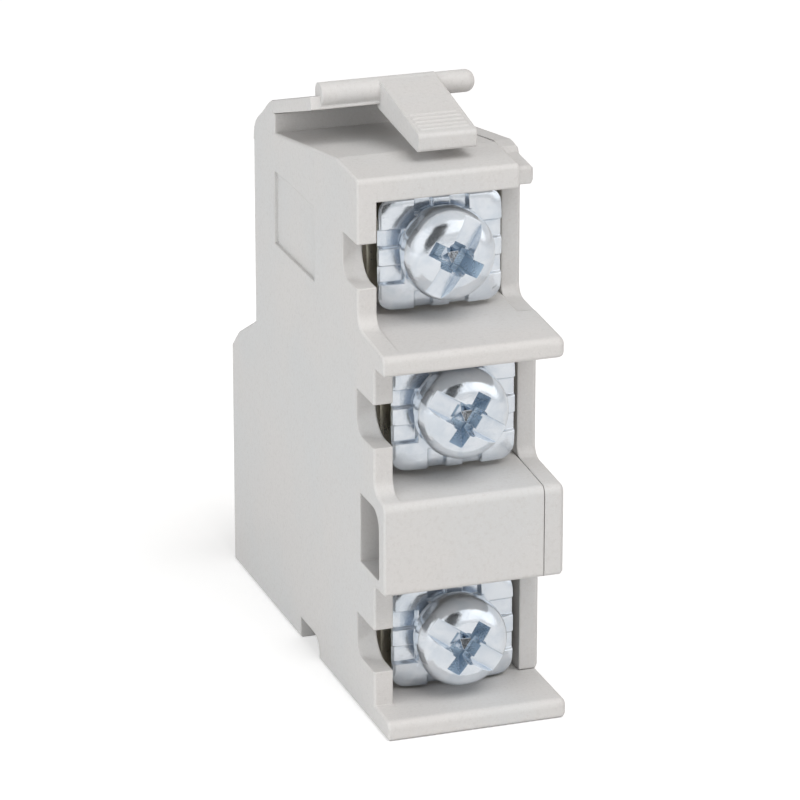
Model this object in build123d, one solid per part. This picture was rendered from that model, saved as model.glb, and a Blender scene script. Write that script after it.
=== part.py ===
from build123d import *
import math
import os

# Auxiliary contact block: a slim changeover switch in a two-shell moulded housing, with three screw
# terminals at the front, a sprung latch on top and an actuating lever at the back.
# Millimetres. Front is -Y, the wall with the wire entries is at -X, the foot stands on Z = 0.
# A setback is a distance behind the foot's front edge.

# Housing envelope
width = 12.0
depth = 33.0
cover_thickness = 1.35
side_wall = 1.25
back_wall = 1.2
edge_round = 0.12
cover_round = 0.4

# Heights of the front, stacked from the base up
foot_thickness = 1.3
lower_well = 8.2
box_thickness = 6.1
middle_well = 8.45
barrier_thickness = 1.3
upper_well = 8.45
ledge_thickness = 1.55
ridge_rise = 0.19

# Setbacks of the front
foot_reach_under_cover = 7.5
wall_setback = 2.9
box_setback = 0.9
barrier_setback = 1.0
ledge_setback = 6.0
ridge_setback = 10.4
foot_round = 0.5
box_round = 0.6
barrier_round = 0.5
ledge_round = 0.35
underside_round = 0.25
corner_round = 0.3
barrier_slope = 0.06
strip_rise = 0.12
wall_foot_round = 1.0

# Roof and stepped back
roof_fall = 0.156
roof_wall = 1.8
upper_back = 27.5
step_rise = 0.2
step_height = 3.4

# Cover front edge
cover_wall_top = 9.2
cover_wall_middle = 6.05
cover_wall_bottom = 5.3
nose_setback = 6.9
nose_height = 1.15
cover_foot_round = 0.7
cover_under_barrier = 0.1
shell_gap = 0.05

# Terminals: drop of each screw below its well's roof, and setback of the brass plates
terminal_drops = (3.75, 3.65, 4.55)
plate_setback = 6.45
top_plate_setback = 9.1
plate_thickness = 0.8
plate_height = 6.4
plate_margin = 0.4
plate_clearance = 0.05
wire_gap = 1.05
partition = 1.3

# Terminal screw, M3 with a pan head
screw_radius = 1.5
screw_length = 6.0
screw_tip_chamfer = 0.3
screw_tip_room = 0.3
thread_clearance = 0.03
head_radius = 3.0
head_height = 2.4
head_round = 0.75
slot_width = 1.1
slot_depth = 0.75
slot_angle = 32.0
top_slot_angle = -60.0
cross_width = 1.3
cross_length = 3.9
cross_depth = 1.3
cross_taper = 12.0
collar_wall = 0.5
collar_length = 1.0
collar_clearance = 0.2

# Square clamp washer: its reach above the screw, and below each of the three
washer_margin = 0.62
washer_rise = 3.4
washer_falls = (3.9, 4.1, 3.45)
washer_thickness = 0.8
washer_round = 0.7
washer_hole_clearance = 0.15
washer_edge = 0.25
washer_play = 0.15
boss_radius = 2.5
boss_height = 0.7
boss_taper = 15.0
grip_width = 1.0
grip_reach = 2.6
grip_height = 0.14
grip_spacing = 2.3

# Wire entries in the side wall: drop of each centre below its well's roof
entry_drops = (4.1, 3.85, 4.45)
entry_height = 2.9
entry_setback = 0.2
entry_mouth_round = 0.8
entry_throat_round = 2.0

# Window that cores out the box barrier
window_frame = 1.0
window_depth = 3.7
window_floor = 0.7
window_height = 4.65
window_round = 1.3
window_reach = 9.2

# Recessed panel on the side wall
panel_setback = 14.7
panel_length = 8.35
panel_drop = 7.8
panel_height = 5.0
panel_depth = 0.25

# Hook notch in the base
notch_setback = 14.1
notch_length = 4.0
notch_height = 1.5
notch_round = 1.2

# Latch: sprung arm, catch rod and finger tongue
latch_margin = 3.55
post_setback = 22.8
hinge_setback = 23.0
hinge_rise = 1.755
knuckle_radius = 0.43
knuckle_clearance = 0.03
arm_thickness = 0.85
arm_angle = 17.0
rod_radius = 0.78
rod_end_radius = 0.74
rod_setback = 15.7
rod_rise = 0.56
rod_inset = 0.7
rod_margin = 0.9
rod_end_round = 0.6
tongue_inset = 4.6
tongue_reach = 8.1
tongue_drop = 1.55
tongue_tip_thickness = 1.2
tongue_root_thickness = 2.0
rib_count = 5
rib_pitch = 0.5
rib_setback = 0.7
rib_height = 0.08

# Switch mechanism
cavity_floor = 2.8
strip_width = 4.0
strip_thickness = 0.8
strip_joint = 0.1
contact_setback = 16.5
contact_radius = 1.1
contact_height = 0.6
contact_bevel = 0.15
contact_gap = 0.95
contact_clearance = 0.02
contact_margin = 0.3
blade_thickness = 0.25
blade_width = 3.4
pivot_setback = 24.9
pivot_radius = 0.35
pivot_clearance = 0.03
spring_thickness = 0.15
spring_width = 1.6
spring_rise = 2.2
spring_gap = 0.35
spring_span = 5.2
spring_foot = 0.8
lever_setback = 25.5
lever_below_blade = 5.9
lever_width = 4.0
lever_boss = 1.7
lever_tip_setback = 19.8
lever_tip_radius = 0.5
lever_tail_thickness = 2.2
lever_reach = 2.0
lever_nose_drop = 0.9
lever_travel = 5.2
lever_side_clearance = 0.2
lever_blade_clearance = 0.06
bearing_boss = 1.4
pin_radius = 0.75
pin_clearance = 0.03
pin_seat = 0.55
peg_radius = 0.7
peg_length = 2.6
peg_clearance = 0.03
peg_boss = 1.5
peg_boss_gap = 0.2

# Overrun of a cut through a free face, and overlap of two joined solids
overrun = 1.0
overlap = 0.1

os.makedirs("parts", exist_ok=True)

# Places that follow from the sizes
left = -width / 2
right = width / 2
front = -(depth + lever_reach) / 2
seam = right - cover_thickness
inner_left = left + side_wall
mid_x = (inner_left + seam) / 2
box_bottom = foot_thickness + lower_well
box_top = box_bottom + box_thickness
barrier_bottom = box_top + middle_well
barrier_top = barrier_bottom + barrier_thickness
ledge_bottom = barrier_top + upper_well
ledge_top = ledge_bottom + ledge_thickness
ridge_height = ledge_top + ridge_rise
step_low = box_top + step_rise
step_high = step_low + step_height
well_roofs = (ledge_bottom, barrier_bottom, box_bottom)
terminal_heights = tuple(roof - drop for roof, drop in zip(well_roofs, terminal_drops))
plate_planes = (top_plate_setback, plate_setback, plate_setback)
plate_width = seam - inner_left - 2 * plate_margin
washer_width = seam - inner_left - 2 * washer_margin
washer_planes = tuple(plane - wire_gap - washer_thickness for plane in plate_planes)
collar_radius = screw_radius + thread_clearance + collar_wall
cavity_front = plate_setback + plate_thickness + partition
upper_front = top_plate_setback + plate_thickness + partition
latch_width = width - latch_margin
rod_length = width - rod_inset - rod_margin
strip_end = contact_setback + contact_radius + contact_margin
upper_strip = terminal_heights[1] - plate_height / 2 - strip_joint
common_strip = terminal_heights[0] - plate_height / 2 - 2 * strip_joint
bottom_strip = terminal_heights[2] + plate_height / 2 - strip_thickness
blade_level = upper_strip - 2 * contact_height - contact_gap - blade_thickness
blade_axis = blade_level + blade_thickness / 2
lower_strip = blade_level - contact_clearance - 2 * contact_height
leg_setback = pivot_setback + pivot_radius / 2
lever_height = blade_level - lever_below_blade
lever_drop = (depth - lever_setback) * math.sin(math.radians(lever_travel))
lever_left = mid_x - lever_width / 2 - lever_side_clearance
lever_right = mid_x + lever_width / 2 + lever_side_clearance
nose_height_at_rest = lever_height - lever_nose_drop


# A point of the side view, from its setback and its height above the base
def side_point(setback, height):
    return (front + setback, height)


# A side-view sketch extruded from one X to another
def slab(sketch, x_start, x_end):
    return extrude(Plane.YZ.offset(x_start) * sketch, x_end - x_start)


# A closed side-view profile; a corner may give its radius as a third number
def outline(corners):
    face = make_face(Polyline(*[side_point(*corner[:2]) for corner in corners], close=True))
    for corner in corners:
        if len(corner) == 3:
            y, z = side_point(*corner[:2])
            vertex = min(face.vertices(), key=lambda v: (v.X - y) ** 2 + (v.Y - z) ** 2)
            face = fillet(vertex, corner[2])
    return face


# A block given by its lower front corner in the side view
def box_side(setback, height, length, rise, x_start, x_end):
    return slab(
        outline([
            (setback, height),
            (setback + length, height),
            (setback + length, height + rise),
            (setback, height + rise),
        ]),
        x_start,
        x_end,
    )


# A disc of the side view
def disc(setback, height, radius):
    return Pos(*side_point(setback, height)) * Circle(radius)


# A cylinder along X
def round_bar(setback, height, radius, x_start, x_end):
    return slab(disc(setback, height, radius), x_start, x_end)


# Height of the roof behind its ridge
def roof(setback):
    return ridge_height - roof_fall * (setback - ridge_setback)


# Height of the middle barrier's sloping top
def barrier_roof(setback):
    return barrier_top + barrier_slope * (setback - barrier_setback)


# Height of the box barrier's sloping top
def box_roof(setback):
    return box_top + barrier_slope * (setback - box_setback)


# Height of the foot's flat top
def foot_roof(setback):
    return foot_thickness


well_floors = (barrier_roof, box_roof, foot_roof)
hinge_height = roof(hinge_setback) + hinge_rise
rod_height = hinge_height + (hinge_setback - rod_setback) * math.tan(math.radians(arm_angle)) + rod_rise
tongue_top = rod_height + rod_radius
tongue_tip_setback = rod_setback - tongue_reach
tongue_tip_top = tongue_top - tongue_drop


# The stepped back, from the base up to the roof
def back_corners():
    return [
        (depth, 0),
        (depth, step_low),
        (depth - 0.41 * step_height, step_low + 0.37 * step_height),
        (upper_back, step_high),
        (upper_back, roof(upper_back)),
    ]


# The side wall's front outline, with the foot, the barriers and the ledge standing out in front
def front_corners():
    return [
        (0, 0, underside_round),
        (0, foot_thickness, foot_round),
        (wall_setback, foot_thickness),
        (wall_setback, box_bottom, corner_round),
        (box_setback, box_bottom, underside_round),
        (box_setback, box_top, box_round),
        (wall_setback, box_roof(wall_setback) + strip_rise, wall_foot_round),
        (wall_setback, barrier_bottom, corner_round),
        (barrier_setback, barrier_bottom, underside_round),
        (barrier_setback, barrier_top, barrier_round),
        (ledge_setback, barrier_roof(ledge_setback) + strip_rise, wall_foot_round),
        (ledge_setback, ledge_top, ledge_round),
        (ridge_setback, ridge_height),
    ]


# One terminal well, from the shell's front to the back of its brass plate
def well(index):
    back = plate_planes[index] + plate_thickness
    floor = well_floors[index]
    slope = outline([
        (-overrun, floor(-overrun)),
        (back, floor(back)),
        (back, well_roofs[index]),
        (-overrun, well_roofs[index]),
    ])
    lowest = terminal_heights[index] - washer_falls[index] - washer_play
    travel = washer_planes[index] - wire_gap
    room = box_side(travel, lowest, back - travel, washer_rise, inner_left, seam + overrun)
    return slab(slope, inner_left, seam + overrun) + room


# A wire entry: a slot from the shell's front whose lower rear corner narrows inwards to guide the wire
def wire_entry(index):
    rear = plate_planes[index] - entry_setback
    top = well_roofs[index] - entry_drops[index] + entry_height / 2
    bottom = top - entry_height
    ends = ((left - overlap, entry_mouth_round), (inner_left + overlap, entry_throat_round))
    return loft([
        Plane.YZ.offset(x) * outline([
            (rear, top),
            (-overrun, top),
            (-overrun, bottom),
            (rear, bottom, corner),
        ])
        for x, corner in ends
    ])


# Bore behind a terminal plate for its threaded collar and the screw's tip
def collar_bore(index):
    plane = plate_planes[index] + plate_thickness
    tip = washer_planes[index] + wire_gap + screw_length + screw_tip_room
    centre = Pos(mid_x, terminal_heights[index])
    start = Plane.XZ.offset(-(front + plane - overlap))
    reach = collar_length + collar_clearance + overlap
    wide = extrude(start * centre * Circle(collar_radius + collar_clearance), -reach)
    narrow = extrude(start * centre * Circle(screw_radius + collar_clearance), -(tip - plane + overlap))
    return wide + narrow


# The space for the switch between the two shells
def cavity():
    return slab(
        outline([
            (cavity_front, cavity_floor, corner_round),
            (depth - back_wall, cavity_floor, corner_round),
            (depth - back_wall, step_low - back_wall / 2),
            (upper_back - back_wall, step_high - back_wall),
            (upper_back - back_wall, roof(upper_back) - roof_wall, corner_round),
            (upper_front, roof(upper_front) - roof_wall, corner_round),
            (upper_front, barrier_bottom),
            (cavity_front, barrier_bottom),
        ]),
        inner_left,
        seam + overrun,
    )


# Centres of the corner bosses that take the cover's locating pegs
def peg_points():
    low = cavity_floor + 0.8 * peg_boss
    high = roof(upper_back) - roof_wall - 0.8 * peg_boss
    return [
        (cavity_front + peg_boss, low),
        (depth - back_wall - peg_boss, low),
        (upper_back - back_wall - peg_boss, high),
        (upper_front + 2.4 * peg_boss, high + roof_fall * (upper_back - upper_front - 2.4 * peg_boss)),
    ]


# The hook notch, rounded at its front upper corner, right through the base
def notch():
    return slab(
        outline([
            (notch_setback, -overrun),
            (notch_setback + notch_length, -overrun),
            (notch_setback + notch_length, notch_height),
            (notch_setback, notch_height, notch_round),
        ]),
        left - overrun,
        right + overrun,
    )


# The middle barrier and the foot where they run on past the seam, rounded at their right end
def barrier_ends():
    behind = cover_wall_middle - shell_gap
    barrier = [
        (barrier_setback, barrier_bottom, underside_round),
        (barrier_setback, barrier_top, barrier_round),
        (behind, barrier_roof(behind)),
        (behind, barrier_bottom),
    ]
    foot = [
        (0, 0, underside_round),
        (0, foot_thickness, foot_round),
        (foot_reach_under_cover, foot_thickness),
        (foot_reach_under_cover, 0),
    ]
    ends = []
    for corners in (barrier, foot):
        end = slab(outline(corners), seam - overrun, right)
        edges = end.faces().sort_by(Axis.X)[-1].edges()
        back_edge = edges.sort_by(Axis.Y)[-1]
        under_edge = edges.sort_by(Axis.Z)[0]
        seen = [edge for edge in edges if edge not in (back_edge, under_edge)]
        ends.append(fillet(seen, cover_round))
    return ends


# The slot in the back wall for the actuating lever
def lever_slot():
    top = nose_height_at_rest + lever_tail_thickness / 2 + 3 * lever_side_clearance
    bottom = nose_height_at_rest - lever_tail_thickness / 2 - lever_drop - 2 * lever_side_clearance
    start = depth - 1.5 * back_wall
    return box_side(start, bottom, 2 * back_wall, top - bottom, lever_left, lever_right)


# Slots through the partition for the terminals' inner strips
def strip_slots():
    rise = strip_thickness + 2 * plate_clearance
    half = strip_width / 2 + plate_clearance
    slots = (
        (top_plate_setback, common_strip, upper_front),
        (plate_setback, upper_strip, cavity_front),
        (plate_setback, bottom_strip, cavity_front),
    )
    return [
        box_side(start, level - plate_clearance, end - start + 0.5, rise, mid_x - half, mid_x + half)
        for start, level, end in slots
    ]


# Post that rises from the roof's rear edge and curls forward, with a round seat for the arm's knuckle
def latch_post():
    with BuildSketch(Plane.YZ.offset(left)) as profile:
        with BuildLine():
            foot_rear = side_point(upper_back, roof(upper_back) - 1)
            foot_front = side_point(post_setback, roof(post_setback) - 1)
            neck = side_point(post_setback, hinge_height - knuckle_radius)
            crown = side_point(hinge_setback + knuckle_radius / 2, hinge_height + 0.93 * knuckle_radius)
            shoulder = side_point(hinge_setback + 6 * knuckle_radius, hinge_height - 2.5 * knuckle_radius)
            Line(foot_front, neck)
            Line(neck, crown)
            Spline(crown, shoulder, foot_rear, tangents=((1, -0.35), (0, -1)))
            Line(foot_rear, foot_front)
        make_face()
    post = extrude(profile.sketch, latch_width)
    seat = disc(hinge_setback, hinge_height, knuckle_radius + knuckle_clearance)
    return post - slab(seat, left - overrun, left + latch_width + overrun)


# The left shell, which carries the terminals, the barriers and the latch
def main_housing():
    body = slab(outline(front_corners() + back_corners()[::-1]), left, seam)
    body = chamfer(body.faces().sort_by(Axis.X)[0].edges(), edge_round)
    body -= cavity()
    for setback, height in peg_points():
        body += round_bar(setback, height, peg_boss, inner_left - overlap, seam - peg_boss_gap)
        bore = disc(setback, height, peg_radius + peg_clearance)
        body -= slab(bore, seam - peg_boss_gap - peg_length, seam + overrun)
    for index in range(3):
        body -= well(index)
        body -= collar_bore(index)
        body -= wire_entry(index)
    body += barrier_ends()
    window_setback = box_setback + window_frame
    window_bottom = box_bottom + window_floor
    body -= slab(
        outline([
            (window_setback, window_bottom, corner_round),
            (window_setback, window_bottom + window_height, window_round),
            (window_setback + window_depth, window_bottom + window_height),
            (window_setback + window_depth, window_bottom),
        ]),
        left - overrun,
        left + window_reach,
    )
    body -= notch()
    panel_bottom = ledge_bottom - panel_drop
    panel_end = left + panel_depth
    body -= box_side(panel_setback, panel_bottom, panel_length, panel_height, left - overrun, panel_end)
    body -= strip_slots()
    body += round_bar(lever_setback, lever_height, bearing_boss, inner_left - overlap, lever_left)
    body -= lever_slot()
    bearing = disc(lever_setback, lever_height, pin_radius + pin_clearance)
    body -= slab(bearing, inner_left - pin_seat, lever_left + overrun)
    return body + latch_post()


# The right shell: a flat cover with the nose beside the ledge and the end of the box barrier
def side_cover():
    nose_bottom = ledge_bottom - overlap
    below = cover_under_barrier
    corners = [
        (foot_reach_under_cover + shell_gap, 0),
        (foot_reach_under_cover + shell_gap, foot_thickness + shell_gap),
        (cover_wall_bottom, foot_thickness + shell_gap),
        (cover_wall_bottom, box_bottom, corner_round),
        (box_setback, box_bottom, underside_round),
        (box_setback, box_top, box_round),
        (cover_wall_middle, box_roof(cover_wall_middle), cover_foot_round),
        (cover_wall_middle, barrier_roof(cover_wall_middle) - below),
        (cover_wall_top, barrier_roof(cover_wall_top) - below, cover_foot_round),
        (cover_wall_top, ledge_bottom, corner_round),
        (nose_setback, nose_bottom),
        (nose_setback, nose_bottom + nose_height, corner_round),
        (ridge_setback - 0.9, nose_bottom + nose_height + 0.2),
        (ridge_setback - 0.7, ridge_height - 0.15),
        (ridge_setback + 0.3, ridge_height),
    ]
    body = slab(outline(corners + back_corners()[::-1]), seam + shell_gap, right)
    body = chamfer(body.faces().sort_by(Axis.X)[-1].edges(), cover_round / 2)
    body -= notch()
    for setback, height in peg_points():
        body += round_bar(setback, height, peg_radius, seam + shell_gap - peg_length, seam + 0.5)
    body += round_bar(lever_setback, lever_height, bearing_boss, lever_right, seam + 0.5)
    bearing = disc(lever_setback, lever_height, pin_radius + pin_clearance)
    body -= slab(bearing, lever_right - overrun, seam + pin_seat)
    return body


# Finger ribs across the tongue near its tip
def tongue_ribs():
    slope = tongue_drop / tongue_reach
    ribs = []
    for number in range(rib_count):
        setback = tongue_tip_setback + rib_setback + number * rib_pitch
        height = tongue_tip_top + (setback - tongue_tip_setback) * slope
        rib = outline([
            (setback - 2 * rib_height, height - rib_height),
            (setback, height + rib_height),
            (setback + 2 * rib_height, height - rib_height),
        ])
        ribs.append(slab(rib, left + tongue_inset + corner_round, left + latch_width - corner_round))
    return ribs


# Sprung arm, catch rod and finger tongue in one moulding
def latch_arm():
    length = (hinge_setback - rod_setback + 0.6 * rod_radius) / math.cos(math.radians(arm_angle))
    hinge = Pos(*side_point(hinge_setback, hinge_height))
    leaf = hinge * Rot(0, 0, 180 - arm_angle) * Pos(length / 2, 0) * Rectangle(length, arm_thickness)
    arm = slab(leaf + hinge * Circle(knuckle_radius), left, left + latch_width)
    rod_left = left + rod_inset
    rod = round_bar(rod_setback, rod_height, rod_radius, rod_left, left + latch_width)
    free_end = round_bar(rod_setback, rod_height, rod_end_radius, left + latch_width, rod_left + rod_length)
    free_end = fillet(free_end.edges().filter_by(GeomType.CIRCLE).sort_by(Axis.X)[-1], rod_end_round)
    root_bottom = tongue_top - tongue_root_thickness
    tongue = slab(
        outline([
            (rod_setback, tongue_top - 0.02),
            (tongue_tip_setback, tongue_tip_top, corner_round),
            (tongue_tip_setback + 0.1, tongue_tip_top - tongue_tip_thickness, underside_round),
            (rod_setback - 0.2, root_bottom, corner_round),
            (rod_setback + 0.5, root_bottom + rod_radius),
        ]),
        left + tongue_inset,
        left + latch_width,
    )
    return arm + rod + free_end + tongue + tongue_ribs()


# Terminal screw: pan head with a slot right across and a shorter cross recess with tapered walls
def terminal_screw(index):
    angle = top_slot_angle if index == 0 else slot_angle
    top = boss_height + head_height
    head = make_face(Polyline(
        (0, -boss_height),
        (head_radius, -boss_height),
        (head_radius, -top),
        (0, -top),
        close=True,
    ))
    crown = max(head.vertices(), key=lambda v: v.X - v.Y)
    head = fillet(crown, head_round)
    shank = make_face(Polyline(
        (0, -boss_height),
        (screw_radius, -boss_height),
        (screw_radius, screw_length - screw_tip_chamfer),
        (screw_radius - screw_tip_chamfer, screw_length),
        (0, screw_length),
        close=True,
    ))
    body = revolve(head + shank, Axis.Y)
    slot = Pos(0, slot_depth / 2 - top, 0) * Box(3 * head_radius, slot_depth, slot_width)
    face = Plane.XZ.offset(top)
    cross = extrude(face * Rectangle(cross_width, cross_length), -cross_depth, taper=cross_taper)
    cross += extrude(face * Rectangle(cross_length, cross_width), -cross_depth, taper=cross_taper)
    body -= Rot(0, angle, 0) * (slot + cross)
    return Pos(mid_x, front + washer_planes[index], terminal_heights[index]) * body


# Square clamp washer with a raised centre under the head, bevelled edges and embossed grips
def clamp_washer(index):
    fall = washer_falls[index]
    face = Pos(0, (washer_rise - fall) / 2) * RectangleRounded(washer_width, washer_rise + fall, washer_round)
    body = extrude(Plane.XZ * face, -washer_thickness)
    body = chamfer(body.faces().sort_by(Axis.Y)[0].edges(), washer_edge)
    across = washer_width / 2 - grip_reach - washer_edge
    under = fall - grip_reach - washer_edge
    grips = Sketch()
    for step in (-grip_spacing / 2, grip_spacing / 2):
        grips += Pos(step, -grip_reach - under / 2) * Rectangle(grip_width, under)
        for side in (-1, 1):
            grips += Pos(side * (grip_reach + across / 2), step) * Rectangle(across, grip_width)
    body += extrude(Plane.XZ * grips, grip_height)
    body += extrude(Plane.XZ * Circle(boss_radius), boss_height, taper=boss_taper)
    body -= extrude(Plane.XZ * Circle(screw_radius + washer_hole_clearance), 2 * washer_thickness, both=True)
    return Pos(mid_x, front + washer_planes[index], terminal_heights[index]) * body


# Flat plate of a terminal with its tapped collar
def terminal_plate(index):
    start = Plane.XZ.offset(-(front + plate_planes[index]))
    centre = Pos(mid_x, terminal_heights[index])
    reach = plate_thickness + collar_length
    body = extrude(start * centre * RectangleRounded(plate_width, plate_height, corner_round), -plate_thickness)
    body += extrude(start * centre * Circle(collar_radius), -reach)
    body -= extrude(start * centre * Circle(screw_radius + thread_clearance), -2 * reach, both=True)
    return body


# A strip bent at right angles in the side view, as one sketch; points run along its centre line
def bent_strip(points):
    sketch = Sketch()
    for (a_y, a_z), (b_y, b_z) in zip(points, points[1:]):
        middle = Pos(*side_point((a_y + b_y) / 2, (a_z + b_z) / 2))
        sketch += middle * Rectangle(abs(b_y - a_y) + strip_thickness, abs(b_z - a_z) + strip_thickness)
    return sketch


# Centre line of each terminal's strip: the common one carries the blade, the others a fixed contact
def strip_points(index):
    half = strip_thickness / 2
    if index == 0:
        return [
            (top_plate_setback + half, common_strip + half),
            (leg_setback + half, common_strip + half),
            (leg_setback + half, blade_level - 4 * pivot_radius),
        ]
    if index == 1:
        return [(plate_setback + half, upper_strip + half), (strip_end - half, upper_strip + half)]
    rise = cavity_front + 2 * strip_thickness
    return [
        (plate_setback + half, bottom_strip + half),
        (rise, bottom_strip + half),
        (rise, lower_strip - half),
        (strip_end - half, lower_strip - half),
    ]


# One terminal: its plate and its strip, with the blade's seat in the common one
def terminal(index):
    half = strip_width / 2
    body = terminal_plate(index) + slab(bent_strip(strip_points(index)), mid_x - half, mid_x + half)
    if index == 0:
        body -= round_bar(pivot_setback, blade_axis, pivot_radius + pivot_clearance, left, right)
    return body


# Silver contact button; side 1 faces up and -1 faces down
def contact_button(height, side):
    button = Cylinder(contact_radius, contact_height, align=(Align.CENTER, Align.CENTER, Align.MIN))
    button = chamfer(button.edges().sort_by(Axis.Z)[-1], contact_bevel)
    if side < 0:
        button = Rot(180, 0, 0) * button
    return Pos(mid_x, front + contact_setback, height) * button


# Both heads of the moving contact and the stem through the blade
def moving_contact():
    stem = Pos(mid_x, front + contact_setback, blade_axis) * Cylinder(contact_radius / 2, blade_thickness)
    return contact_button(blade_level + blade_thickness, 1) + stem + contact_button(blade_level, -1)


# Switching blade with its rolled rear edge
def contact_blade():
    tip = contact_setback - contact_radius - contact_margin
    half = blade_width / 2
    leaf = box_side(tip, blade_level, pivot_setback - tip, blade_thickness, mid_x - half, mid_x + half)
    roll = round_bar(pivot_setback, blade_axis, pivot_radius, mid_x - half, mid_x + half)
    hole = Pos(mid_x, front + contact_setback, blade_axis) * Cylinder(contact_radius / 2, 1)
    return leaf + roll - hole


# Curved spring from the blade to just short of the common strip
def snap_spring():
    level = blade_level + blade_thickness + spring_thickness / 2
    start = side_point(pivot_setback - spring_span, level)
    crest = side_point(pivot_setback - spring_span / 2, level + spring_rise)
    end = side_point(leg_setback - spring_gap, level + 0.8 * spring_rise)
    arch = Spline(start, crest, end, tangents=((0.3, 1), (0.4, -1)))
    foot = Line(side_point(pivot_setback - spring_span - spring_foot, level), start)
    return slab(trace(foot + arch, spring_thickness), mid_x - spring_width / 2, mid_x + spring_width / 2)


# Rocking lever: boss on the pin, inner finger under the blade, rounded nose behind the housing
def actuating_lever():
    finger_height = blade_level - lever_blade_clearance - lever_tip_radius
    nose_radius = lever_tail_thickness / 2
    waist = disc(lever_setback, lever_height, 0.7 * lever_boss)
    finger = disc(lever_tip_setback, finger_height, lever_tip_radius)
    nose = disc(depth + lever_reach - nose_radius, nose_height_at_rest, nose_radius)
    profile = make_hull((waist + finger).edges()) + make_hull((waist + nose).edges())
    profile += disc(lever_setback, lever_height, lever_boss)
    profile -= disc(lever_setback, lever_height, pin_radius + pin_clearance)
    return slab(profile, mid_x - lever_width / 2, mid_x + lever_width / 2)


# Pin of the lever, seated in both shells
def lever_pin():
    gap = pin_seat - pin_clearance
    return round_bar(lever_setback, lever_height, pin_radius, inner_left - gap, seam + gap)


parts = {
    "main_housing": main_housing(),
    "side_cover": side_cover(),
    "latch_arm": latch_arm(),
    "contact_blade": contact_blade(),
    "moving_contact": moving_contact(),
    "upper_fixed_contact": contact_button(upper_strip, -1),
    "lower_fixed_contact": contact_button(lower_strip, 1),
    "snap_spring": snap_spring(),
    "actuating_lever": actuating_lever(),
    "lever_pin": lever_pin(),
}
for number, place in enumerate(("top", "middle", "bottom")):
    parts[place + "_terminal_screw"] = terminal_screw(number)
    parts[place + "_clamp_washer"] = clamp_washer(number)
for number, name in enumerate(("common_terminal", "upper_contact_terminal", "lower_contact_terminal")):
    parts[name] = terminal(number)
for name, shape in parts.items():
    export_step(shape, f"parts/{name}.step")
    print(name, len(shape.solids()), round(shape.volume, 1))
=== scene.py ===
import math
import bmesh
import bpy
from mathutils import Matrix, Vector


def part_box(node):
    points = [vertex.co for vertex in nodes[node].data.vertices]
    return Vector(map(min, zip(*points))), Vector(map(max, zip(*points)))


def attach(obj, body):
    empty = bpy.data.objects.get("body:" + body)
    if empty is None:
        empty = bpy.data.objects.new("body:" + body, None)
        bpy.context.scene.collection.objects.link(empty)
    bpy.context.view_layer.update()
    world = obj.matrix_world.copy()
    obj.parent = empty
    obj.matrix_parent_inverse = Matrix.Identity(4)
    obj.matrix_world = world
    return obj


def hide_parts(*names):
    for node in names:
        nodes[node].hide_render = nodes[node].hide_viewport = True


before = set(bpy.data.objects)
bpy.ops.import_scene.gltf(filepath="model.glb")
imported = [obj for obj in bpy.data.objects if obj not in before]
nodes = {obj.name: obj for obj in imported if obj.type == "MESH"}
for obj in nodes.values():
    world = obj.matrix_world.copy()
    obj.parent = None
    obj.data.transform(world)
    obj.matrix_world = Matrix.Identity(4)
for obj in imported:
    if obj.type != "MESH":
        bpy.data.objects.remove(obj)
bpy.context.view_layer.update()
mm = 0.001
print("frame loaded:", len(nodes), "nodes")


class Wire:
    # one socket of a node tree; + - * on it add Math nodes
    def __init__(self, paint, socket):
        self.paint = paint
        self.socket = socket

    def calc(self, operation, *others):
        return self.paint.node("Math", {"operation": operation}, [self, *others])

    def __add__(self, other):
        return self.calc("ADD", other)

    def __radd__(self, other):
        return self.calc("ADD", other)

    def __sub__(self, other):
        return self.calc("SUBTRACT", other)

    def __rsub__(self, other):
        return self.paint.node("Math", {"operation": "SUBTRACT"}, [other, self])

    def __mul__(self, other):
        return self.calc("MULTIPLY", other)

    def __rmul__(self, other):
        return self.calc("MULTIPLY", other)

    def clamp(self, low, high):
        return self.calc("MAXIMUM", low).calc("MINIMUM", high)

    def smooth(self, low, high):
        # 0 below low, 1 above high, soft between
        values = {"Value": self, "From Min": low, "From Max": high}
        return self.paint.node("MapRange", {"interpolation_type": "SMOOTHSTEP"}, values)


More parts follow.
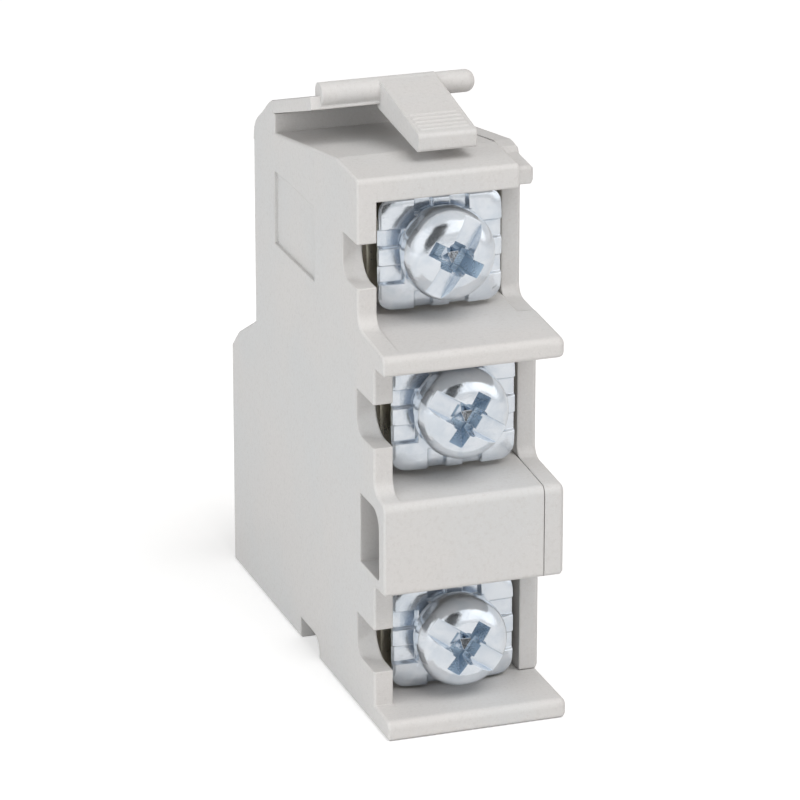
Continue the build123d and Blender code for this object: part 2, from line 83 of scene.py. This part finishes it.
class Paint:
    # the nodes of one material or world; node() adds any node and returns one of its outputs
    def __init__(self, owner):
        owner.use_nodes = True
        self.owner = owner
        self.tree = owner.node_tree
        self.tree.nodes.clear()

    def node(self, kind, settings=None, values=None, output=0):
        made = self.tree.nodes.new("ShaderNode" + kind)
        for key, value in (settings or {}).items():
            setattr(made, key, value)
        pairs = values.items() if isinstance(values, dict) else enumerate(values or [])
        for key, value in pairs:
            if isinstance(value, Wire):
                self.tree.links.new(value.socket, made.inputs[key])
            elif value is not None:
                made.inputs[key].default_value = value
        return Wire(self, made.outputs[output]) if made.outputs else None

    def mixColour(self, factor, first, second):
        return self.node("Mix", {"data_type": "RGBA"}, {0: factor, 6: first, 7: second}, output=2)

    def place(self, scale=(1, 1, 1)):
        # Object coordinates in millimetres
        spot = self.node("TexCoord", output=3)
        grown = tuple(1000 * part for part in scale)
        return self.node("Mapping", {}, {"Vector": spot, "Scale": grown})

    def noise(self, size, detail=2.0, rough=0.5, spot=None, warp=0.0):
        # size is the width of one blotch in millimetres
        values = {
            "Vector": spot or self.place(), "Scale": 1 / size,
            "Detail": detail, "Roughness": rough, "Distortion": warp}
        return self.node("TexNoise", {}, values)

    def softEdge(self, width):
        return self.node("Bevel", {"samples": 8}, {"Radius": width * mm})

    def crest(self, soft, low, high):
        # 1 along an edge, where the rounded normal leans away from the flat one
        flat = self.node("NewGeometry", output=1)
        lean = self.node("VectorMath", {"operation": "DOT_PRODUCT"}, [soft, flat], output=1)
        return (1 - lean).smooth(low, high)

    def narrow(self, reach, low, high):
        # 1 deep in a gap, 0 on open faces, the mask for painted shade; reach in millimetres
        light = self.node("AmbientOcclusion", {"samples": 6}, {"Distance": reach * mm}, output=1)
        return 1 - light.smooth(low, high)

    def bump(self, height, depth, strength=1.0, normal=None):
        # depth is the height of the relief in millimetres
        values = {"Height": height, "Distance": depth * mm, "Strength": strength, "Normal": normal}
        return self.node("Bump", {}, values)

    def surface(self, **values):
        named = {key.replace("_", " "): value for key, value in values.items()}
        self.node("OutputMaterial", {}, {"Surface": self.node("BsdfPrincipled", {}, named)})
        return self.owner


def newPaint(name):
    return Paint(bpy.data.materials.new(name))


def tone(r, g, b):
    return (r, g, b, 1.0)


plastic = {
    "warm": (0.628, 0.612, 0.600),
    "cool": (0.608, 0.608, 0.606),
    "dusk": (0.560, 0.545, 0.532),
    "crest": (0.79, 0.77, 0.755),  # painted highlight along the moulded edges, also the colour of the light specks
    "deep": (0.16, 0.148, 0.14),  # painted shade in narrow gaps
    "reach": 0.9,  # mm, how narrow a gap has to be for that
    "gapShade": 0.85,  # how far that colour goes
    "edgeHighlightShare": 0.75,  # how far the painted highlight along the edges goes
    "roughness": 0.48,
    "cloud": 9.0,  # mm, blotches between warm and cool
    "fleck": 0.22,  # mm, dusky flecks
    "speck": 0.07,  # mm, light specks
    "grain": 0.10,  # mm, spacing of the moulded texture
    "grainDepth": 0.007,  # mm
    "flow": 3.5,  # mm, long waves from moulding
    "flowDepth": 0.03,
    "edge": 0.17,  # mm, rounding of the moulded edges
}


def shaded(colour, shade):
    return tone(*(shade * part for part in colour))


def mouldedPlastic(name, shade=1.0, grainDepth=1.0):
    paint = newPaint(name)
    cloud = paint.noise(plastic["cloud"], 3.0)
    fleck = paint.noise(plastic["fleck"], 3.0, 0.65)
    speck = paint.noise(plastic["speck"], 1.0)
    warm, cool, dusk, crest = [shaded(plastic[key], shade) for key in ("warm", "cool", "dusk", "crest")]
    colour = paint.mixColour(cloud.smooth(0.35, 0.68), warm, cool)
    colour = paint.mixColour(fleck.smooth(0.46, 0.78) * 0.75, colour, dusk)
    colour = paint.mixColour(speck.smooth(0.60, 0.74) * 0.3, colour, crest)
    edge = paint.softEdge(plastic["edge"])
    # painted highlight: the edges get a lighter colour
    colour = paint.mixColour(paint.crest(edge, 0.02, 0.22) * plastic["edgeHighlightShare"], colour, crest)
    # painted shade: narrow gaps get a dark colour
    gaps = paint.narrow(plastic["reach"], 0.06, 0.42) * plastic["gapShade"]
    colour = paint.mixColour(gaps, colour, tone(*plastic["deep"]))
    grain = paint.noise(plastic["grain"], 2.0, 0.55)
    flow = paint.noise(plastic["flow"], 2.0, 0.5, paint.place((1, 1, 0.35)))
    wavy = paint.bump(flow, plastic["flowDepth"], 0.5, edge)
    relief = paint.bump(grain, plastic["grainDepth"] * grainDepth, 1.0, wavy)
    roughness = plastic["roughness"] + (fleck - 0.5) * 0.18 + (cloud - 0.5) * 0.1
    return paint.surface(Base_Color=colour, Roughness=roughness, Normal=relief, IOR=1.46)


zinc = {
    "bright": (0.82, 0.86, 0.91),
    "dull": (0.70, 0.76, 0.83),
    "worn": (0.90, 0.93, 0.96),  # polished edges
    "deep": (0.20, 0.31, 0.45),  # painted shade in recesses and narrow gaps
    "roughness": 0.15,
    "cloud": 1.1,  # mm, blotches between bright and dull
    "scratch": 0.09,  # mm, spacing of the fine lines
    "scratchDepth": 0.004,
    "dent": 0.55,  # mm
    "dentDepth": 0.02,
    "pit": 0.11,  # mm
    "pitDepth": 0.005,
    "edge": 0.06,  # mm, rounding of the edges
}


def tinted(colour, paintedShadeTint):
    return tone(*(part * share for part, share in zip(colour, paintedShadeTint)))


def zincPlate(name, reach, gaps, metallic, matt=0.0, brushed=0.2, paintedShadeTint=(1.0, 1.0, 1.0)):
    # reach in millimetres sets how narrow a place must be for painted shade and the next value how dark
    # it gets, matt adds roughness, the last values darken the whole copy as painted shade
    paint = newPaint(name)
    bright, dull = tinted(zinc["bright"], paintedShadeTint), tinted(zinc["dull"], paintedShadeTint)
    cloud = paint.noise(zinc["cloud"], 4.0, 0.6, warp=0.8)
    scratch = paint.noise(zinc["scratch"], 2.0, 0.5, paint.place((0.4, 1, 1)))
    dent = paint.noise(zinc["dent"], 3.0, 0.6)
    pit = paint.noise(zinc["pit"], 2.0)
    colour = paint.mixColour(cloud.smooth(0.34, 0.72), bright, dull)
    edge = paint.softEdge(zinc["edge"])
    worn = paint.crest(edge, 0.03, 0.25)
    colour = paint.mixColour(worn * 0.8, colour, tone(*zinc["worn"]))
    # painted shade: recesses and narrow gaps get a dark blue colour
    colour = paint.mixColour(paint.narrow(reach, 0.2, 0.92) * gaps, colour, tone(*zinc["deep"]))
    wavy = paint.bump(dent, zinc["dentDepth"], 0.6, edge)
    lined = paint.bump(scratch, zinc["scratchDepth"], brushed, wavy)
    relief = paint.bump(pit, zinc["pitDepth"], 0.5, lined)
    roughness = zinc["roughness"] + matt + (cloud - 0.5) * 0.16
    roughness = roughness + scratch.smooth(0.4, 0.8) * 0.08 - worn * 0.04
    return paint.surface(Base_Color=colour, Metallic=metallic, Roughness=roughness, Normal=relief)


strip = {
    "cloud": 2.2,  # mm, blotches between bright and dull
    "rolled": 0.1,  # mm, spacing of the lines from rolling
    "rolledDepth": 0.004,
    "edge": 0.06,
}


def metalStrip(name, bright, dull, base=0.3):
    paint = newPaint(name)
    cloud = paint.noise(strip["cloud"], 4.0, 0.55, warp=0.4)
    rolled = paint.noise(strip["rolled"], 2.0, 0.5, paint.place((1, 0.08, 1)))
    colour = paint.mixColour(cloud.smooth(0.35, 0.72), tone(*bright), tone(*dull))
    relief = paint.bump(rolled, strip["rolledDepth"], 0.5, paint.softEdge(strip["edge"]))
    roughness = base + (cloud - 0.5) * 0.2 + (rolled - 0.5) * 0.1
    return paint.surface(Base_Color=colour, Metallic=1.0, Roughness=roughness, Normal=relief)


lever = {
    "dark": (0.035, 0.035, 0.038),
    "light": (0.05, 0.05, 0.052),
    "cloud": 2.0,  # mm
    "grain": 0.08,  # mm
    "grainDepth": 0.006,
    "edge": 0.12,
}


def leverPlastic(name):
    paint = newPaint(name)
    cloud = paint.noise(lever["cloud"], 3.0)
    colour = paint.mixColour(cloud.smooth(0.35, 0.7), tone(*lever["dark"]), tone(*lever["light"]))
    grain = paint.noise(lever["grain"], 2.0)
    relief = paint.bump(grain, lever["grainDepth"], 0.8, paint.softEdge(lever["edge"]))
    return paint.surface(Base_Color=colour, Roughness=cloud * 0.2 + 0.38, Normal=relief)


finishes = {
    "housingPlastic": mouldedPlastic("housingPlastic"),
    "coverPlastic": mouldedPlastic("coverPlastic", 0.99),
    "latchPlastic": mouldedPlastic("latchPlastic", 1.01, 0.7),
    "screwZinc": zincPlate("screwZinc", 0.9, 0.65, 0.93),
    "pitZinc": zincPlate("pitZinc", 0.2, 0.1, 1.0, -0.03),
    # a darker blue copy of the zinc for the walls of the cross recess: painted shade
    "crossZincPaintedShade": zincPlate("crossZincPaintedShade", 0.9, 0.25, 0.5, 0.12, 0.2, (0.47, 0.57, 0.66)),
    "washerZinc": zincPlate("washerZinc", 0.5, 0.5, 0.88, 0.02, 0.1),
    "terminalBrass": metalStrip("terminalBrass", (0.84, 0.79, 0.66), (0.70, 0.63, 0.48)),
    "bladeBronze": metalStrip("bladeBronze", (0.75, 0.50, 0.33), (0.58, 0.36, 0.22)),
    "contactSilver": metalStrip("contactSilver", (0.86, 0.86, 0.84), (0.70, 0.70, 0.70), 0.25),
    "pinSteel": metalStrip("pinSteel", (0.62, 0.62, 0.62), (0.50, 0.50, 0.52), 0.25),
    "leverPlastic": leverPlastic("leverPlastic"),
}
nodeFinish = {
    "main_housing": "housingPlastic",
    "side_cover": "coverPlastic",
    "latch_arm": "latchPlastic",
    "contact_blade": "bladeBronze",
    "moving_contact": "contactSilver",
    "upper_fixed_contact": "contactSilver",
    "lower_fixed_contact": "contactSilver",
    "snap_spring": "bladeBronze",
    "actuating_lever": "leverPlastic",
    "lever_pin": "pinSteel",
    "top_terminal_screw": "screwZinc",
    "middle_terminal_screw": "screwZinc",
    "bottom_terminal_screw": "screwZinc",
    "top_clamp_washer": "washerZinc",
    "middle_clamp_washer": "washerZinc",
    "bottom_clamp_washer": "washerZinc",
    "common_terminal": "terminalBrass",
    "upper_contact_terminal": "terminalBrass",
    "lower_contact_terminal": "terminalBrass",
}
for name, finish in nodeFinish.items():
    slots = nodes[name].data.materials
    for number in range(len(slots)):
        slots[number] = finishes[finish]
    if not slots:
        slots.append(finishes[finish])
print("finishes set")


def newObject(name, bm):
    mesh = bpy.data.meshes.new(name)
    bm.to_mesh(mesh)
    bm.free()
    made = bpy.data.objects.new(name, mesh)
    bpy.context.scene.collection.objects.link(made)
    return made


def bakeModifiers(made):
    # turns the modifier stack into plain mesh
    ready = bpy.context.evaluated_depsgraph_get()
    mesh = bpy.data.meshes.new_from_object(made.evaluated_get(ready))
    made.modifiers.clear()
    made.data = mesh


def carve(made, toolBm):
    # cuts a closed tool mesh out of a piece
    tool = newObject("cutter", toolBm)
    cut = made.modifiers.new("cut", "BOOLEAN")
    cut.operation = "DIFFERENCE"
    cut.solver = "EXACT"
    cut.object = tool
    bakeModifiers(made)
    bpy.data.objects.remove(tool)


def addProfile(bm, points, steps=72, closed=False):
    # turns (radius, y) points round the Y axis into a closed body or ring
    made = [bm.verts.new((radius, y, 0)) for radius, y in points]
    pairs = list(zip(made, made[1:])) + ([(made[-1], made[0])] if closed else [])
    edges = [bm.edges.new(pair) for pair in pairs]
    bmesh.ops.spin(
        bm, geom=made + edges, cent=(0, 0, 0), axis=(0, 1, 0), dvec=(0, 0, 0),
        angle=math.tau, steps=steps, use_merge=True, use_duplicate=False)
    bmesh.ops.remove_doubles(bm, verts=bm.verts, dist=1e-5)
    bmesh.ops.recalc_face_normals(bm, faces=bm.faces)


def dress(made, *names, sharp=32):
    # its finishes, and smooth shading between the sharp edges
    parts = [face.material_index for face in made.data.polygons]
    made.data.materials.clear()  # this puts every face back to 0
    for finish in names:
        made.data.materials.append(finishes[finish])
    for face, part in zip(made.data.polygons, parts):
        face.use_smooth = True
        face.material_index = part
    made.data.set_sharp_from_angle(angle=math.radians(sharp))


def arc(centre, radius, start, end, count):
    # points of an arc in the (radius, y) plane, angles in degrees
    sweep = [math.radians(start + (end - start) * step / count) for step in range(count + 1)]
    return [(centre[0] + radius * math.cos(a), centre[1] + radius * math.sin(a)) for a in sweep]


screw = {
    "headRadius": 3.0,
    "top": 3.1,  # all heights are distances in front of the washer's plane
    "under": 0.72,
    "shoulder": 1.42,  # where the straight side ends
    "crown": 1.55,  # radius of the rounding above it
    "shankRadius": 1.22,
    "threadRadius": 1.46,
    "pitch": 0.5,
    "ridge": (0.44, 0.06),  # half widths of a thread's foot and crest, as shares of the pitch
    "threadStart": 0.7,
    "threadSteps": 30,  # mesh steps in a turn
    "length": 6.0,
    "tip": (0.35, 0.45),  # the shank's chamfer, across and along
    "buried": 0.9,  # how far the shank goes into the head
    "rimBevel": (0.15, 0.12),  # under the head, across and along
    "slotWidth": 1.2,
    "slotDepth": 0.85,
    "armWidth": 1.0,
    "armLength": (3.9, 2.75),  # square to the slot and along it
    "armDepth": 1.5,
    "foot": (0.72, 0.42),  # how much of width and length is left at the bottom
    "flute": 0.34,  # radius of the round corners between the arms
    "fluteSpread": 0.56,  # how far from the middle they are, each way
    "pitRadius": 0.80,
    "pit": 0.38,  # depth of the four-sided pit
    "turns": {"top": -60.0, "middle": 32.0, "bottom": 35.0},
}


def taperedBox(width, length, foot, depth, top):
    # a block from y = top down to y = top + depth; foot is what is left of its size there
    bm = bmesh.new()
    for vert in bmesh.ops.create_cube(bm, size=1.0)["verts"]:
        low = vert.co.y > 0
        across, along = foot if low else (1.0, 1.0)
        height = top + depth if low else top
        vert.co = Vector((vert.co.x * width * across, height, vert.co.z * length * along))
    return bm


def cone(bm, wide, narrow, start, depth, spot=(0, 0), sides=20, turn=0.0):
    # a cone along Y from y = start, its first radius there
    place = Matrix.Translation((spot[0], start + depth / 2, spot[1]))
    place = place @ Matrix.Rotation(math.radians(-90), 4, "X")
    place = place @ Matrix.Rotation(math.radians(turn), 4, "Z")
    bmesh.ops.create_cone(
        bm, cap_ends=True, segments=sides, radius1=wide, radius2=narrow, depth=depth, matrix=place)


def recessTools():
    # the slot, both arms of the cross, the round corners between them and the pit in the middle
    spare = 0.4  # how far the tools stand out above the head
    face = -screw["top"] - spare
    deep = screw["armDepth"] + spare
    narrow, short = screw["foot"]
    grow = 1 + spare / screw["armDepth"] * (1 - short)
    wide = screw["armWidth"] * 1.08
    across, along = [length * grow for length in screw["armLength"]]
    tools = [
        taperedBox(8.0, screw["slotWidth"] * 1.45, (1.0, 0.69), screw["slotDepth"] + spare, face),
        taperedBox(wide, across, (narrow, short), deep, face),
        taperedBox(along, wide, (short, narrow), deep, face),
    ]
    for number in range(4):
        angle = math.radians(45 + 90 * number)
        spread = screw["fluteSpread"]
        spot = (math.copysign(spread, math.cos(angle)), math.copysign(spread, math.sin(angle)))
        bm = bmesh.new()
        cone(bm, screw["flute"] * 1.15, screw["flute"] * 0.7, face, deep * 0.85, spot)
        tools.append(bm)
    bm = bmesh.new()
    cone(bm, screw["pitRadius"], 0.02, face + deep - 0.05, screw["pit"], sides=4, turn=45)
    tools.append(bm)
    for bm in tools:
        bmesh.ops.recalc_face_normals(bm, faces=bm.faces)
    return tools


def threadCoil(bm):
    # one ridge of the thread, spun along the shank with its ends closed
    root, crest, pitch = screw["shankRadius"] - 0.03, screw["threadRadius"], screw["pitch"]
    start, perTurn = screw["threadStart"], screw["threadSteps"]
    foot, tip = screw["ridge"]
    corners = [(root, -foot), (crest, -tip), (crest, tip), (root, foot)]
    made = [bm.verts.new((radius, start + share * pitch, 0)) for radius, share in corners]
    edges = [bm.edges.new((made[n], made[(n + 1) % 4])) for n in range(4)]
    first = bm.faces.new(made)
    turns = int((screw["length"] - 1.2) / pitch)
    bmesh.ops.spin(
        bm, geom=[first] + edges + made, cent=(0, 0, 0), axis=(0, 1, 0), dvec=(0, pitch / perTurn, 0),
        angle=math.tau * turns, steps=perTurn * turns, use_merge=False, use_duplicate=False)


def joinMesh(bm, other):
    spare = bpy.data.meshes.new("spare")
    other.to_mesh(spare)
    other.free()
    bm.from_mesh(spare)
    bpy.data.meshes.remove(spare)


def headPart(face):
    # 0 on the dome and in the slot, 1 on the pit's facets, 2 in the cross, whose zinc is darkened as
    # painted shade
    spot = face.calc_center_median()
    depth, out = spot.y + screw["top"], math.hypot(spot.x, spot.z)
    reach, bottom = screw["armLength"][0] / 2, screw["armDepth"]
    if depth > bottom + screw["pit"]:
        return 0  # the head's underside
    flat = abs(face.normal.y) > 0.97
    if out < screw["pitRadius"] and depth > bottom - 0.06 and not flat:
        return 1
    inArm = abs(spot.x) < 0.6 * screw["armWidth"] and screw["slotWidth"] / 2 < abs(spot.z) < reach
    underSlot = out < reach and depth > screw["slotDepth"] + 0.08
    return 2 if underSlot or inArm and depth > 0.35 else 0


def makeScrew(place):
    node = place + "_terminal_screw"
    low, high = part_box(node)
    radius, top, crown, shoulder = screw["headRadius"], screw["top"], screw["crown"], screw["shoulder"]
    rim = arc((radius - crown, -shoulder), crown, 0, -80, 14)
    wide, rise = rim[-1][0], top + rim[-1][1]
    under, (bevelAcross, bevelAlong) = screw["under"], screw["rimBevel"]
    points = [(0, -under), (radius - bevelAcross, -under), (radius, -under - bevelAlong)] + rim
    points += [(wide * part, -top + rise * part * part) for part in (0.75, 0.5, 0.25, 0.0)]
    bm = bmesh.new()
    addProfile(bm, points, 96)
    made = newObject(place + "Screw", bm)
    for tool in recessTools():
        carve(made, tool)
    bm = bmesh.new()
    bm.from_mesh(made.data)
    core, length, buried = screw["shankRadius"], screw["length"], screw["buried"]
    tipAcross, tipAlong = screw["tip"]
    for face in bm.faces:
        face.material_index = headPart(face)
    shank = bmesh.new()
    side = [(core, -buried), (core, length - tipAlong), (core - tipAcross, length)]
    addProfile(shank, [(0, -buried)] + side + [(0, length)], 48)
    joinMesh(bm, shank)
    threadCoil(bm)
    spot = Vector(((low.x + high.x) / 2, low.y + top * mm, (low.z + high.z) / 2))
    angle = math.radians(screw["turns"][place])
    whole = Matrix.Translation(spot) @ Matrix.Scale(mm, 4) @ Matrix.Rotation(angle, 4, "Y")
    bmesh.ops.transform(bm, matrix=whole, verts=bm.verts)
    bm.to_mesh(made.data)
    bm.free()
    dress(made, "screwZinc", "pitZinc", "crossZincPaintedShade")
    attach(made, place + "_screw")
    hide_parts(node)


washer = {
    "rise": 3.4,  # mm, from the screw's axis to the upper edge
    "plane": 0.8,  # mm, from the back of the CAD washer to the front face
    "thickness": 0.76,
    "back": 0.78,  # nothing reaches further back than this, so the plate stays clear
    "hole": 1.66,
    "boss": 0.70,  # height of the raised centre
    "bossRadius": 2.4,
    "bossFoot": 2.72,
    "corner": 0.9,  # mm, radius of the corners
    "pocketSpots": (-1.14, 1.22),  # places of the pockets along each side, from the washer's middle
    "middles": {"top": -0.40, "middle": -0.46, "bottom": -0.03},  # height of that middle
    "pocketWidth": 1.16,
    "pocketDepth": 0.34,
    "shallow": (2.0, 0.6),  # right of this x the pockets have this share of that depth
    "pocketEnds": (2.45, 2.3, 2.8),  # where the pockets at the sides, above and below start
    "wall": 0.15,  # mm, width of the pockets' sloping sides
    "step": 0.3,  # mm, spacing of the mesh between the pockets
    "cornerDrop": 0.2,  # how far the corners bend back
    "cornerSize": 2.0,
    "edgeRoll": (0.26, 0.11),  # width and height of the rounding along the edges
    "bossRound": 0.12,
}


def ramp(value, start, end):
    t = max(0.0, min(1.0, (value - start) / (end - start)))
    return t * t * (3 - 2 * t)


def gridLines(low, high, marks):
    # mesh lines close together at each mark and at both ends, evenly spaced between them
    wall = washer["wall"]
    lines = [low, low + 0.05, low + 0.12, low + 0.22, high - 0.22, high - 0.12, high - 0.05, high]
    for mark in marks:
        lines += [mark - wall / 2, mark - wall / 4, mark, mark + wall / 4, mark + wall / 2]
    count = int((high - low) / washer["step"])
    for number in range(1, count):
        line = low + (high - low) * number / count
        if min(abs(line - other) for other in lines) > 0.1:
            lines.append(line)
    return sorted(lines)


def washerRelief(x, z, middle, left, right, bottom, top):
    # how far the front face stands out towards -Y at a point, in mm
    wall, half = washer["wall"], washer["pocketWidth"] / 2
    sink = 0.0
    sides, upper, lower = washer["pocketEnds"]
    start = upper if z > 0 else lower
    for spot in washer["pocketSpots"]:
        inRow = ramp(abs(z - middle - spot), half + wall / 2, half - wall / 2)
        inColumn = ramp(abs(x - spot), half + wall / 2, half - wall / 2)
        sink = max(sink, inRow * ramp(abs(x), sides - wall / 2, sides + wall / 2))
        sink = max(sink, inColumn * ramp(abs(z), start - wall / 2, start + wall / 2))
    border, share = washer["shallow"]
    rise = -washer["pocketDepth"] * sink * (1.0 if x < border else share)
    size, roll = washer["cornerSize"], washer["edgeRoll"]
    across = max(0.0, abs(x) - (right - size)) * max(0.0, max(bottom + size - z, z - (top - size)))
    rise -= washer["cornerDrop"] * ramp(across, 0.0, size * size)
    edge = min(x - left, right - x, z - bottom, top - z)
    return rise - roll[1] * ramp(edge, roll[0], 0.0)


def makeWasher(place):
    node = place + "_clamp_washer"
    low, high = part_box(node)
    plane, middle = high.y / mm - washer["plane"], (low.x + high.x) / 2 / mm
    right, top = (high.x - low.x) / 2 / mm, washer["rise"]
    left, bottom = -right, (low.z - high.z) / mm + top
    level = washer["middles"][place]
    width = washer["pocketWidth"]
    edges = [spot + side * width / 2 for spot in washer["pocketSpots"] for side in (-1, 1)]
    sides, upper, lower = washer["pocketEnds"]
    columns = gridLines(left, right, edges + [-sides, sides])
    rows = gridLines(bottom, top, [edge + level for edge in edges] + [-lower, upper])
    bm = bmesh.new()
    bmesh.ops.create_grid(bm, x_segments=len(columns) - 1, y_segments=len(rows) - 1, size=1.0)
    corner = washer["corner"]
    for vert in bm.verts:
        x = columns[round((vert.co.x + 1) / 2 * (len(columns) - 1))]
        z = rows[round((vert.co.y + 1) / 2 * (len(rows) - 1))]
        rise = washerRelief(x, z, level, left, right, bottom, top)
        # the outline's corners are drawn in to an arc
        dx = abs(x) - (right - corner)
        dz = max(z - (top - corner), bottom + corner - z)
        if dx > 0 and dz > 0:
            pull = max(dx, dz) / math.hypot(dx, dz)
            x = math.copysign(right - corner + dx * pull, x)
            z = top - corner + dz * pull if z > 0 else bottom + corner - dz * pull
        vert.co = Vector((x, -rise, z))
    bmesh.ops.recalc_face_normals(bm, faces=bm.faces)
    if sum(face.normal.y for face in bm.faces) > 0:
        bmesh.ops.reverse_faces(bm, faces=bm.faces)
    made = newObject(place + "Washer", bm)
    thick = made.modifiers.new("thickness", "SOLIDIFY")
    thick.thickness = washer["thickness"]
    thick.offset = -1.0
    bakeModifiers(made)
    for vert in made.data.vertices:
        vert.co.y = min(vert.co.y, washer["back"])
    drill = bmesh.new()
    cone(drill, washer["hole"], washer["hole"], -3, 6, sides=64)
    carve(made, drill)
    bm = bmesh.new()
    bm.from_mesh(made.data)
    ring = bmesh.new()
    foot, upper, boss = washer["bossFoot"], washer["bossRadius"], washer["boss"]
    hole, bossRound = washer["hole"], washer["bossRound"]
    bend = arc((upper - bossRound, -boss + bossRound), bossRound, -90, -20, 4)
    addProfile(ring, [(hole, 0.3), (hole, -boss)] + bend + [(foot, 0.02), (foot, 0.3)], 72, True)
    joinMesh(bm, ring)
    whole = Matrix.Scale(mm, 4) @ Matrix.Translation((middle, plane, high.z / mm - top))
    bmesh.ops.transform(bm, matrix=whole, verts=bm.verts)
    bm.to_mesh(made.data)
    bm.free()
    dress(made, "washerZinc")
    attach(made, place + "_washer")
    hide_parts(node)


for place in ("top", "middle", "bottom"):
    makeScrew(place)
    makeWasher(place)
print("screws and washers made")


studio = {
    "floorSize": 1.6,
    "floorColour": (0.80, 0.80, 0.80),
    "target": (0, 0, 0.018),  # where the lamps point, in metres
    "floorGlow": 0.42,  # what the camera sees on top of the lit floor
    "floorShine": 0.05,  # the same for reflections
    "worldLevel": 0.35,
    "worldColour": (1.0, 0.965, 0.935),
    "room": 0.72,  # level of the room seen in metal
    "patches": [  # parts of that room: direction, level, cosines where it starts and is full
        ((0.30, -0.72, 0.62), 1.15, 0.84, 0.92),
        ((-0.80, -0.40, 0.45), 1.0, 0.80, 0.93),
        ((0.78, -0.42, 0.46), 1.3, 0.86, 0.95),
        ((-0.20, -0.68, 0.70), 0.0, 0.945, 0.965),
        ((-0.33, -0.87, 0.36), 0.04, 0.905, 0.945),
    ],
    "lamps": {  # place, size in metres, watts, colour
        "key": ((0.13, -0.30, 0.55), 0.44, 2.42, (1.0, 0.998, 0.993)),
        "side": ((-0.57, -0.10, 0.18), 0.42, 1.88, (0.93, 0.975, 1.0)),
        "fill": ((-0.15, -0.59, 0.13), 0.38, 0.78, (1.0, 0.983, 0.967)),
    },
}


glossyRay, clearRay = 3, 6  # Light Path's outputs for glossy and transmission rays


def makeFloor():
    bm = bmesh.new()
    bmesh.ops.create_grid(bm, x_segments=2, y_segments=2, size=studio["floorSize"] / 2)
    floor = newObject("floor", bm)
    paint = newPaint("floorWhite")
    camera, mirror = paint.node("LightPath"), paint.node("LightPath", output=glossyRay)
    seen = camera * studio["floorGlow"] + mirror * studio["floorShine"]
    lit = paint.node("BsdfDiffuse", {}, {"Color": tone(*studio["floorColour"])})
    glow = paint.node("Emission", {}, {"Color": tone(1, 1, 1), "Strength": seen})
    paint.node("OutputMaterial", {}, {"Surface": paint.node("AddShader", {}, [lit, glow])})
    floor.data.materials.append(paint.owner)


def makeWorld():
    world = bpy.data.worlds.new("studio")
    paint = Paint(world)
    camera = paint.node("LightPath")
    mirror = paint.node("LightPath", output=glossyRay)
    clear = paint.node("LightPath", output=clearRay)
    ray = paint.node("VectorMath", {"operation": "NORMALIZE"}, [paint.node("TexCoord")])
    room = studio["room"]
    for way, level, start, full in studio["patches"]:
        ends = [ray, Vector(way).normalized()]
        facing = paint.node("VectorMath", {"operation": "DOT_PRODUCT"}, ends, output=1)
        part = facing.smooth(start, full)
        room = part * level + (1 - part) * room
    seen = (camera + clear).clamp(0, 1)
    level = seen + (1 - seen) * (mirror * room + (1 - mirror) * studio["worldLevel"])
    sky = paint.mixColour((seen + mirror).clamp(0, 1), tone(*studio["worldColour"]), tone(1, 1, 1))
    back = paint.node("Background", {}, {"Color": sky, "Strength": level})
    paint.node("OutputWorld", {}, {"Surface": back})
    bpy.context.scene.world = world


def makeLamp(name, spot, size, watts, colour):
    data = bpy.data.lights.new(name, "AREA")
    data.shape = "SQUARE"
    data.size = size
    data.energy = watts
    data.color = colour
    lamp = bpy.data.objects.new(name, data)
    lamp.location = spot
    aim = Vector(studio["target"]) - Vector(spot)
    lamp.rotation_euler = aim.to_track_quat("-Z", "Y").to_euler()
    lamp.visible_glossy = False  # metal shows the patches of the room instead
    bpy.context.scene.collection.objects.link(lamp)


view = {
    "spot": (-95.634, -279.949, 123.949),  # mm
    "turn": (70.0, 0.0, -19.0),
    "lens": 216.0,
}


def makeCamera():
    data = bpy.data.cameras.new("photoView")
    data.sensor_width = 36.0
    data.lens = view["lens"]
    data.clip_start = 0.01
    data.clip_end = 10.0
    camera = bpy.data.objects.new("photoView", data)
    camera.location = [part * mm for part in view["spot"]]
    camera.rotation_euler = [math.radians(part) for part in view["turn"]]
    bpy.context.scene.collection.objects.link(camera)
    bpy.context.scene.camera = camera


makeFloor()
makeWorld()
for name, values in studio["lamps"].items():
    makeLamp(name, *values)
makeCamera()
bpy.context.scene.view_settings.view_transform = "Standard"
print("studio and camera set")
